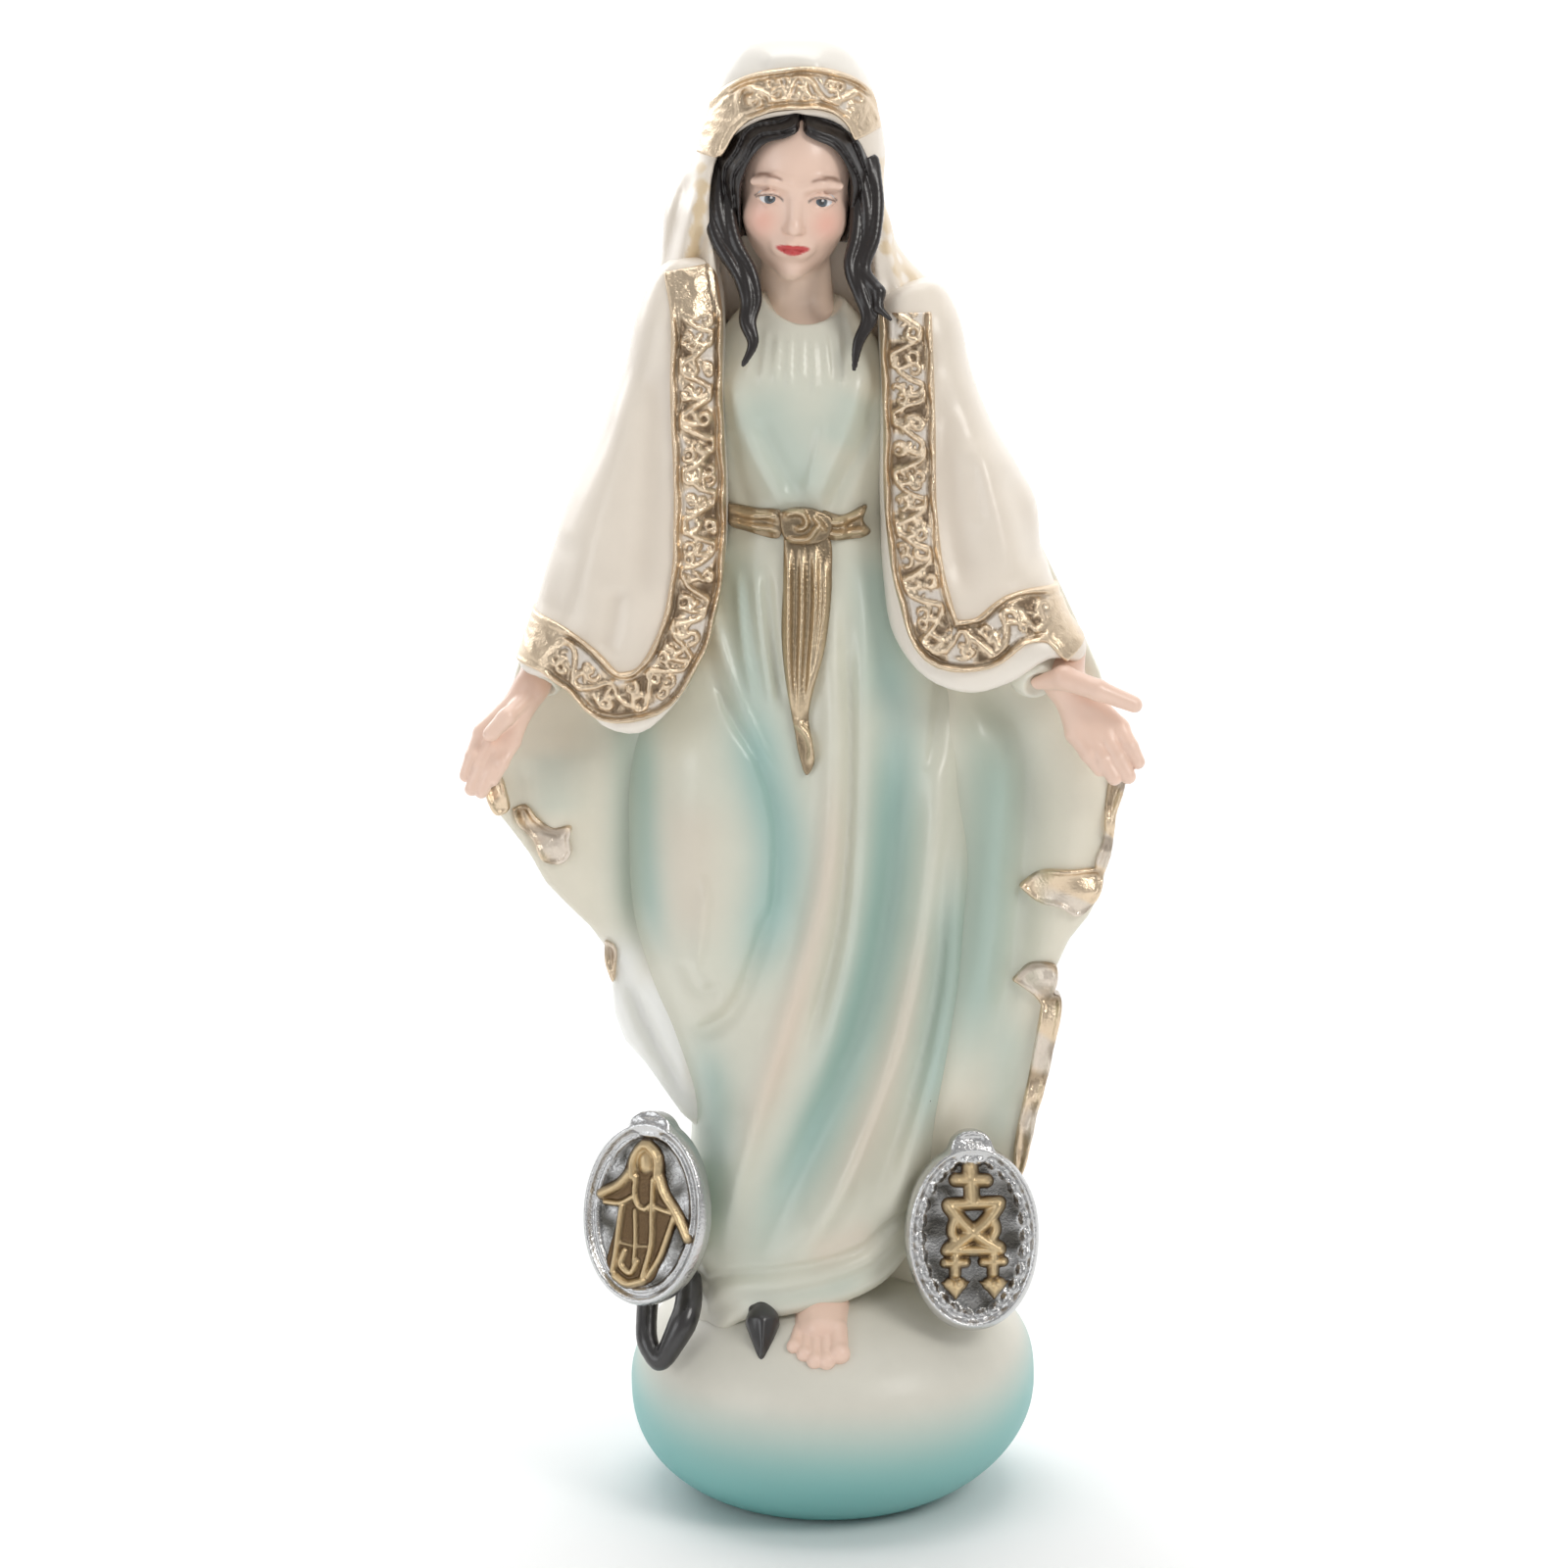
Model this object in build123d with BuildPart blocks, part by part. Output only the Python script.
"""Painted cast statue of a robed, hooded woman with open hands, standing on a flattened globe.

Frame: +Z up, the figure looks towards -Y, and +X is on a viewer's right. Millimetres.
The origin is the centre of the statue's bounding box, on the surface it stands on.
"left" and "right" in the names are a viewer's, so left is the -X side.
"""

import os

from build123d import *

# ---- driving dimensions -------------------------------------------------------------------
HEIGHT = 200.0
GLOBE_X = 4.5
GLOBE_RADIUS = 28.3
GLOBE_HALF_HEIGHT = 17.0
GLOBE_CENTRE_Z = 15.5
SKIRT_FOOT_Z = 24.0  # the drapery starts inside the globe and is cut to it
HOOD_FOOT_Z = 161.0

TRIM_THICKNESS = 0.9
BORDER_WIDTH = 6.4
SASH_THICKNESS = 1.3
SASH_WIDTH = 4.2
SASH_Z = 138.2
SASH_TAIL_THICKNESS = 1.8
MANTLE_EDGE = 2.2
REACH = 60.0  # longer than the statue is deep, for cutters

MEDAL_HALF_WIDTH = 9.2
MEDAL_HALF_HEIGHT = 12.7
MEDAL_THICKNESS = 3.0
MEDAL_RIM = 1.2
MEDAL_RECESS = 0.9
MEDAL_LOOP = 4.6
RELIEF_HEIGHT = 0.8
MEDAL_BOSS_RADIUS = 3.2  # the stub that joins a medal to the drapery behind it
MEDAL_LEFT_BOSS = 15.0
MEDAL_RIGHT_BOSS = 19.0
BEADS = 22
BEAD_RADIUS = 0.55

# Horizontal ovals: (height, lowest x, highest x, front y, back y)
GOWN_OVALS = [
    (SKIRT_FOOT_Z, -15.0, 13.0, -15.5, 14.0),
    (42.0, -15.0, 15.5, -16.5, 14.0),
    (63.0, -16.0, 18.5, -17.0, 13.0),
    (85.0, -19.0, 20.5, -18.5, 12.0),
    (110.0, -17.0, 19.0, -16.5, 10.0),
    (139.0, -11.5, 12.0, -12.6, 7.0),
    (150.0, -13.0, 12.5, -13.4, 7.0),
    (160.0, -12.0, 10.5, -11.0, 6.0),
    (167.0, -7.0, 5.5, -7.5, 4.0),
]
CAPE_LEFT_OVALS = [
    (111.6, -26.0, -20.5, -20.0, -15.0),
    (121.0, -37.6, -11.8, -21.5, -3.0),
    (131.0, -34.2, -10.2, -19.5, 3.0),
    (144.0, -28.4, -9.6, -16.5, 7.0),
    (157.0, -23.6, -9.8, -12.5, 9.0),
    (167.0, -18.8, -10.4, -7.5, 8.0),
]
CAPE_RIGHT_OVALS = [
    (117.4, 20.0, 26.0, -20.0, -15.0),
    (124.6, 13.6, 36.5, -21.5, -3.0),
    (133.0, 12.2, 33.3, -19.5, 3.0),
    (144.0, 10.8, 28.9, -16.5, 7.0),
    (157.0, 10.2, 23.0, -12.5, 9.0),
    (167.0, 9.6, 19.2, -7.5, 8.0),
]
HOOD_OVALS = [
    (HOOD_FOOT_Z, -20.5, 19.0, -4.5, 15.5),
    (171.0, -18.8, 14.4, -8.5, 16.0),
    (181.0, -14.7, 11.0, -10.6, 15.0),
    (190.0, -12.2, 9.8, -10.2, 12.6),
    (196.5, -8.6, 6.4, -7.0, 9.0),
    (HEIGHT, -3.4, 1.4, -2.0, 4.0),
]
# Crescents behind the gown: (height, left x, right x, edge front y, middle front y, back y)
MANTLE_CRESCENTS = [
    (SKIRT_FOOT_Z, -13.0, 26.0, -2.0, 4.0, 19.0),
    (42.0, -15.0, 31.2, -3.0, 4.0, 22.0),
    (56.0, -17.5, 33.0, -3.5, 3.0, 23.0),
    (76.0, -26.5, 36.0, -5.0, 2.0, 22.5),
    (98.0, -42.5, 43.2, -8.0, 0.0, 20.5),
    (108.0, -42.0, 43.0, -8.0, 0.0, 19.5),
    (130.0, -33.0, 32.0, -3.0, 1.0, 17.5),
    (HOOD_FOOT_Z, -19.5, 18.0, 1.0, 4.0, 15.0),
]

HEAD_CENTRE = (-1.2, -1.5, 178.5)
HEAD_RADII = (8.4, 10.0, 11.6)
HAIR_THICKNESS = 1.5
FACE_OPENING = (7.4, 10.4)
NECK_RADIUS = 5.2

# Front views of the gilt bands, as (x, z) along their middles
CAPE_BORDER_LEFT = [
    (-13.6, 165.0),
    (-13.9, 150.0),
    (-13.6, 132.0),
    (-17.4, 119.6),
    (-24.5, 116.4),
    (-35.0, 121.5),
]
CAPE_BORDER_RIGHT = [
    (13.4, 164.0),
    (13.9, 150.0),
    (15.6, 132.0),
    (20.5, 122.6),
    (27.0, 123.6),
    (36.0, 126.0),
]


# ---- forms shared by several sub-parts ------------------------------------------------------
def oval_loft(ovals, grow=0.0):
    """A smooth solid through horizontal ovals, each widened by grow all round."""
    with BuildPart() as form:
        for z, x_low, x_high, y_front, y_back in ovals:
            with BuildSketch(Plane.XY.offset(z)):
                with Locations(((x_low + x_high) / 2, (y_front + y_back) / 2)):
                    Ellipse((x_high - x_low) / 2 + grow, (y_back - y_front) / 2 + grow)
        loft()
    return form.part


def crescent_loft(crescents, grow=0.0):
    """A solid through horizontal crescents with blunt edges, widened by grow all round."""
    with BuildPart() as form:
        for z, x_left, x_right, y_edge, y_middle, y_back in crescents:
            middle = (x_left + x_right) / 2
            left = x_left - grow
            right = x_right + grow
            front_edge = y_edge - grow
            back_edge = y_edge + MANTLE_EDGE + grow
            with BuildSketch(Plane.XY.offset(z)):
                with BuildLine():
                    ThreePointArc(
                        (left, back_edge), (middle, y_back + grow), (right, back_edge)
                    )
                    Line((right, back_edge), (right, front_edge))
                    ThreePointArc(
                        (right, front_edge), (middle, y_middle - grow), (left, front_edge)
                    )
                    Line((left, front_edge), (left, back_edge))
                make_face()
        loft(ruled=True)
    return form.part


def ellipsoid(centre, radii):
    """An ellipsoid from a unit sphere, scaled along its three axes. Called outside any block."""
    return Pos(*centre) * scale(Sphere(1.0), by=radii)


def carved(form, tools):
    """A form with each tool cut from it in turn, without the crumbs that this can leave."""
    with BuildPart() as rest:
        add(form)
        for tool in tools:
            add(tool, mode=Mode.SUBTRACT)
    return rest.part.solids().sort_by(SortBy.VOLUME)[-1]


def finish(piece, name):
    """Labels a finished piece and writes it."""
    piece.label = name
    export_step(piece, f"parts/{name}.step")


os.makedirs("parts", exist_ok=True)
gown_form = oval_loft(GOWN_OVALS)
mantle_form = crescent_loft(MANTLE_CRESCENTS)
hood_form = oval_loft(HOOD_OVALS)
cape_left_form = oval_loft(CAPE_LEFT_OVALS)
cape_right_form = oval_loft(CAPE_RIGHT_OVALS)
head_form = ellipsoid(HEAD_CENTRE, HEAD_RADII)
hair_form = ellipsoid(HEAD_CENTRE, tuple(radius + HAIR_THICKNESS for radius in HEAD_RADII))

# ---- the globe ------------------------------------------------------------------------------
globe_radii = (GLOBE_RADIUS, GLOBE_RADIUS, GLOBE_HALF_HEIGHT)
globe_form = ellipsoid((GLOBE_X, 0, GLOBE_CENTRE_Z), globe_radii)
with BuildPart() as globe_base:
    add(globe_form)
    split(bisect_by=Plane.XY, keep=Keep.TOP)
finish(globe_base.part, "globe_base")

# ---- medals -----------------------------------------------------------------------------------
# Each plane's origin is the middle of the medal's face, with the normal facing out.
MEDAL_LEFT_PLANE = Plane(
    origin=(-20.9, -17.5, 45.2), x_dir=(0.92, -0.39, 0.0), z_dir=(-0.385, -0.90, 0.20)
)
MEDAL_RIGHT_PLANE = Plane(
    origin=(22.4, -18.5, 41.8), x_dir=(0.995, 0.1, 0.0), z_dir=(0.1, -0.98, 0.17)
)


def medal_plate(plane, boss_length):
    """An oval plate with a raised rim, a hanging tab at its top and a stub behind it."""
    with BuildPart() as plate:
        with BuildSketch(plane):
            Ellipse(MEDAL_HALF_WIDTH, MEDAL_HALF_HEIGHT)
            with Locations((0, MEDAL_HALF_HEIGHT)):
                RectangleRounded(MEDAL_LOOP, MEDAL_LOOP, MEDAL_LOOP / 4)
        extrude(amount=-MEDAL_THICKNESS)
        with BuildSketch(plane):
            Ellipse(MEDAL_HALF_WIDTH - MEDAL_RIM, MEDAL_HALF_HEIGHT - MEDAL_RIM)
        extrude(amount=-MEDAL_RECESS, mode=Mode.SUBTRACT)
        with BuildSketch(plane.offset(-MEDAL_RECESS)):
            Circle(MEDAL_BOSS_RADIUS)
        extrude(amount=-boss_length)
    return plate.part


def heart(x, y, size):
    """A heart drawn from two lobes and a point, in the sketch that is open."""
    with Locations((x - size * 0.45, y), (x + size * 0.45, y)):
        Circle(size * 0.55)
    with Locations((x, y - size * 0.45)):
        Rectangle(size * 0.95, size * 0.95, rotation=45)


medal_left = medal_plate(MEDAL_LEFT_PLANE, MEDAL_LEFT_BOSS)
medal_right = medal_plate(MEDAL_RIGHT_PLANE, MEDAL_RIGHT_BOSS)
finish(medal_left, "medal_left")
finish(medal_right, "medal_right")

with BuildPart() as medal_left_relief:
    with BuildSketch(MEDAL_LEFT_PLANE.offset(-MEDAL_RECESS)):
        with BuildLine():
            robe = Polyline((0, -9), (3.0, -8.6), (2.0, -1), (5.2, -3.4), (2.4, 4.4), (1.3, 5.4))
            crown = RadiusArc(robe @ 1, (0, 8.6), -1.9)
            mirror(robe, about=Plane.YZ)
            mirror(crown, about=Plane.YZ)
        make_face()
    extrude(amount=RELIEF_HEIGHT)
finish(medal_left_relief.part, "medal_left_relief")

with BuildPart() as medal_right_relief:
    with BuildLine(mode=Mode.PRIVATE):
        bead_ring = EllipticalCenterArc(
            (0, 0),
            MEDAL_HALF_WIDTH - 2 * MEDAL_RIM,
            MEDAL_HALF_HEIGHT - 2 * MEDAL_RIM,
            arc_size=360,
        )
    with BuildSketch(MEDAL_RIGHT_PLANE.offset(-MEDAL_RECESS)):
        with Locations((0, 6.3)):
            Rectangle(1.0, 5.2)
            with Locations((0, 0.7)):
                Rectangle(4.0, 1.0)
        with Locations((0, 3.2)):
            Rectangle(7.0, 0.9)
        with Locations((0, 0.2)):
            RegularPolygon(2.3, 4)
        for side in (-1, 1):
            with Locations((side * 2.7, -3.2)):
                Rectangle(0.8, 3.4)
            heart(side * 2.7, -5.6, 1.7)
        for index in range(BEADS):
            point = bead_ring @ (index / BEADS)
            with Locations((point.X, point.Y)):
                Circle(BEAD_RADIUS)
    extrude(amount=RELIEF_HEIGHT)
finish(medal_right_relief.part, "medal_right_relief")

# ---- head, neck and hair ------------------------------------------------------------------------
with BuildPart() as head:
    with BuildSketch(Plane.XY.offset(157.0)):
        with Locations((-0.4, -2.0)):
            Circle(NECK_RADIUS + 1.0)
    with BuildSketch(Plane.XY.offset(172.0)):
        with Locations((-0.8, -1.0)):
            Circle(NECK_RADIUS)
    loft()
    add(head_form)
finish(head.part, "head")

with BuildPart() as hair_crown:
    add(hair_form)
    with BuildSketch(Plane.XZ):
        with Locations((HEAD_CENTRE[0], HEAD_CENTRE[2] - 1.4)):
            Ellipse(*FACE_OPENING)
    extrude(amount=REACH, mode=Mode.SUBTRACT)
    split(bisect_by=Plane.XY.offset(171.0), keep=Keep.TOP)
    add(head.part, mode=Mode.SUBTRACT)
finish(hair_crown.part, "hair_crown")


def hair_lock(points, thick, thin):
    """A tapering lock of hair that hangs along the points."""
    with BuildPart() as lock:
        for index, (x, y, z) in enumerate(points):
            radius = thick + (thin - thick) * index / (len(points) - 1)
            with BuildSketch(Plane.XY.offset(z)):
                with Locations((x, y)):
                    Ellipse(radius, radius * 0.8)
        loft()
    return lock.part


LOCK_LEFT = [(-9.0, -10.2, 171.5), (-7.0, -11.4, 166.5), (-6.2, -12.4, 162.0), (-7.2, -13.2, 158.5)]
LOCK_RIGHT = [(7.4, -10.2, 171.5), (8.4, -11.2, 166.5), (8.2, -12.0, 162.0), (7.2, -13.0, 158.0)]
lock_left_form = hair_lock(LOCK_LEFT, 2.1, 0.7)
lock_right_form = hair_lock(LOCK_RIGHT, 2.3, 0.8)
lock_tools = [gown_form, head.part, hair_form]
finish(carved(lock_left_form, lock_tools), "hair_lock_left")
finish(carved(lock_right_form, lock_tools), "hair_lock_right")

# ---- gown and hood ------------------------------------------------------------------------------
gown = carved(gown_form, [globe_base.part, head.part, medal_left, medal_right])
finish(gown, "gown")

with BuildPart() as hood_shell:
    add(hood_form)
    with BuildSketch(Plane.XZ.offset(3.0)):
        with Locations((-0.7, 176.5)):
            Ellipse(9.6, 12.2)
        with Locations((-0.7, 168.0)):
            Rectangle(19.2, 17.0)
    extrude(amount=REACH, mode=Mode.SUBTRACT)
hood = carved(
    hood_shell.part, [gown_form, head.part, hair_form, lock_left_form, lock_right_form]
)
finish(hood, "hood")

hood_grown = oval_loft(HOOD_OVALS, TRIM_THICKNESS)
with BuildPart() as hood_band:
    with BuildSketch(Plane.XZ):
        with Locations((-0.9, 181.0)):
            Ellipse(15.0, 15.0)
            Ellipse(12.0, 9.6, mode=Mode.SUBTRACT)
        with Locations((-0.9, 187.0 - REACH / 2)):
            Rectangle(REACH, REACH, mode=Mode.SUBTRACT)
    extrude(amount=REACH)
    add(hood_grown, mode=Mode.INTERSECT)
finish(carved(hood_band.part, [hood_form, hair_form]), "hood_border")


# ---- the cloak's fronts, which hang over the arms ---------------------------------------------------
def cape_border(ovals, path, tools):
    """A raised band of even thickness that follows a path down the front of a cape."""
    with BuildPart() as band:
        with BuildSketch(Plane.XZ.offset(5.0)):
            with BuildLine():
                middle = Spline(*path)
            trace(middle, line_width=BORDER_WIDTH)
        extrude(amount=REACH)
        add(oval_loft(ovals, TRIM_THICKNESS), mode=Mode.INTERSECT)
    return carved(band.part, tools)


# ---- hands and inner sleeves ----------------------------------------------------------------------
PALM_LENGTH = 8.5
PALM_WIDTH = 6.6
PALM_DEPTH = 3.2
FINGER_RADII = (0.85, 0.95, 0.95, 0.9)
FINGER_LENGTHS = (6.2, 7.6, 8.0, 7.2)
THUMB_LENGTH = 7.0
THUMB_RADIUS = 1.25
WRIST_LENGTH = 7.0
WRIST_RADII = (2.1, 1.8)
CUFF_RADII = (3.1, 3.5)


def hand(plane):
    """An open hand: the plane's normal runs down the fingers and its y axis out of the palm."""
    with BuildPart() as form:
        with BuildSketch(plane.offset(-WRIST_LENGTH)):
            Ellipse(*WRIST_RADII)
        with BuildSketch(plane):
            Ellipse(*WRIST_RADII)
        with BuildSketch(plane.offset(PALM_LENGTH * 0.55)):
            Ellipse(PALM_WIDTH / 2, PALM_DEPTH / 2)
        with BuildSketch(plane.offset(PALM_LENGTH)):
            Ellipse(PALM_WIDTH / 2 * 0.95, PALM_DEPTH / 2 * 0.72)
        loft()
        for index, (radius, length) in enumerate(zip(FINGER_RADII, FINGER_LENGTHS)):
            across = (1.5 - index) * PALM_WIDTH / 4
            with BuildSketch(plane.offset(PALM_LENGTH - 1.0)):
                with Locations((across, 0)):
                    Circle(radius)
            extrude(amount=length, taper=2)
        thumb_root = Plane(plane.offset(2.0).location * Location((1.6, -1.0, 0)))
        with BuildSketch(thumb_root.rotated((-12, 38, 0))):
            Circle(THUMB_RADIUS)
        extrude(amount=THUMB_LENGTH, taper=3)
    return form.part


def cuff(plane):
    """The short inner sleeve that a wrist comes out of."""
    with BuildPart() as form:
        with BuildSketch(plane.offset(-WRIST_LENGTH)):
            Circle(CUFF_RADII[0])
        with BuildSketch(plane.offset(-0.5)):
            Circle(CUFF_RADII[1])
        loft()
    return form.part


HAND_LEFT_PLANE = Plane(
    origin=(-37.2, -15.0, 117.6), x_dir=(0.86, -0.1, 0.5), z_dir=(-0.44, -0.30, -0.85)
)
HAND_RIGHT_PLANE = Plane(
    origin=(35.7, -15.0, 117.6), x_dir=(0.74, -0.2, 0.64), z_dir=(0.56, -0.28, -0.78)
)
hand_left = hand(HAND_LEFT_PLANE)
hand_right = hand(HAND_RIGHT_PLANE)
finish(hand_left, "hand_left")
finish(hand_right, "hand_right")
cuff_left_form = cuff(HAND_LEFT_PLANE)
cuff_right_form = cuff(HAND_RIGHT_PLANE)
cuff_left = carved(cuff_left_form, [hand_left])
cuff_right = carved(cuff_right_form, [hand_right])
finish(cuff_left, "cuff_left")
finish(cuff_right, "cuff_right")

upper_body = [gown_form, hood_form, lock_left_form, lock_right_form]
left_arm = [cuff_left_form, hand_left]
right_arm = [cuff_right_form, hand_right]
finish(carved(cape_left_form, [*upper_body, *left_arm]), "cape_left")
finish(carved(cape_right_form, [*upper_body, *right_arm]), "cape_right")
cape_border_left = cape_border(
    CAPE_LEFT_OVALS, CAPE_BORDER_LEFT, [cape_left_form, *upper_body, *left_arm]
)
cape_border_right = cape_border(
    CAPE_RIGHT_OVALS, CAPE_BORDER_RIGHT, [cape_right_form, *upper_body, *right_arm]
)
finish(cape_border_left, "cape_border_left")
finish(cape_border_right, "cape_border_right")

# ---- back drape and its edging ------------------------------------------------------------------------
arms_and_capes = [cape_left_form, cape_right_form, *left_arm, *right_arm]
borders = [cape_border_left, cape_border_right]
figure = [gown_form, globe_base.part, hood_form, medal_left, medal_right]
finish(carved(mantle_form, [*figure, *arms_and_capes, *borders]), "mantle_back")

mantle_grown = crescent_loft(MANTLE_CRESCENTS, TRIM_THICKNESS)
EDGING_FRONT_Y = -12.0
EDGING_BACK_Y = 0.0


def mantle_edging(x_low, x_high, z_low, z_high):
    """Gilt edging wrapped round the front corner of the back drape's side edge."""
    with BuildPart() as edging:
        with BuildSketch(Plane.XY.offset(z_low)):
            with Locations(((x_low + x_high) / 2, (EDGING_FRONT_Y + EDGING_BACK_Y) / 2)):
                Rectangle(x_high - x_low, EDGING_BACK_Y - EDGING_FRONT_Y)
        extrude(amount=z_high - z_low)
        add(mantle_grown, mode=Mode.INTERSECT)
    return carved(edging.part, [mantle_form, *arms_and_capes, *borders])


finish(mantle_edging(-46, -34, 86.0, 103.0), "mantle_edging_left")
finish(mantle_edging(33.5, 46, 66.0, 103.0), "mantle_edging_right")

# ---- sash -----------------------------------------------------------------------------------------
knot_form = ellipsoid((1.0, -13.6, SASH_Z - 0.6), (3.2, 1.9, 2.2))
finish(carved(knot_form, [gown_form]), "sash_knot")

with BuildPart() as sash_band:
    with BuildSketch(Plane.XZ.offset(2.0)):
        with Locations((-0.6, SASH_Z)):
            Rectangle(19.0, SASH_WIDTH)
    extrude(amount=REACH)
    add(oval_loft(GOWN_OVALS, SASH_THICKNESS), mode=Mode.INTERSECT)
    for tool in (gown_form, knot_form, cape_left_form, cape_right_form, *borders):
        add(tool, mode=Mode.SUBTRACT)
finish(sash_band.part, "sash_bow")

with BuildPart() as sash_tail:
    with BuildSketch(Plane.XZ.offset(2.0)):
        with BuildLine():
            tail_left = Spline(
                (-1.9, SASH_Z - SASH_WIDTH / 2), (-2.6, 125.0), (-1.7, 114.7), (0.8, 105.4)
            )
            tail_right = Spline(
                tail_left @ 1, (1.9, 112.0), (4.2, 125.0), (3.6, SASH_Z - SASH_WIDTH / 2)
            )
            Line(tail_right @ 1, tail_left @ 0)
        make_face()
    extrude(amount=REACH)
    add(oval_loft(GOWN_OVALS, SASH_TAIL_THICKNESS), mode=Mode.INTERSECT)
finish(carved(sash_tail.part, [gown_form, knot_form]), "sash_tail")

# ---- foot and serpent on top of the globe -----------------------------------------------------------
TOES = 5
toes = [
    ellipsoid((0.2 + 1.4 * index, -22.9 + 0.35 * index, 26.0 + 0.1 * index), (0.85, 1.8, 1.1))
    for index in range(TOES)
]
with BuildPart() as foot:
    with BuildSketch(Plane.XZ.offset(12.0)):
        with Locations((2.6, 29.0)):
            Ellipse(3.4, 2.6)
    with BuildSketch(Plane.XZ.offset(18.0)):
        with Locations((2.8, 28.6)):
            Ellipse(3.6, 2.4)
    with BuildSketch(Plane.XZ.offset(22.4)):
        with Locations((3.0, 26.6)):
            Ellipse(3.6, 1.5)
    loft()
    add(toes)
finish(carved(foot.part, [globe_base.part, gown_form]), "foot")

SERPENT_RADIUS = 1.55
with BuildPart() as serpent_loop:
    with BuildLine():
        body = Spline(
            (-21.4, -8.5, 32.0), (-22.3, -12.5, 26.4), (-19.6, -15.6, 22.6),
            (-16.4, -16.2, 24.4), (-14.6, -14.0, 29.0),
        )
    with BuildSketch(Plane(origin=body @ 0, z_dir=body % 0)):
        Circle(SERPENT_RADIUS)
    sweep()
serpent_tools = [globe_base.part, gown_form, mantle_form, medal_left, medal_right]
finish(carved(serpent_loop.part, serpent_tools), "serpent_loop")

with BuildPart() as serpent_head:
    with BuildSketch(Plane.XY.offset(33.0)):
        with Locations((-5.5, -16.5)):
            Ellipse(1.4, 1.5)
    with BuildSketch(Plane.XY.offset(28.6)):
        with Locations((-5.5, -19.6)):
            Ellipse(2.2, 1.9)
    with BuildSketch(Plane.XY.offset(24.6)):
        with Locations((-5.5, -22.2)):
            Ellipse(0.6, 0.6)
    loft()
finish(carved(serpent_head.part, [globe_base.part, gown_form]), "serpent_head")
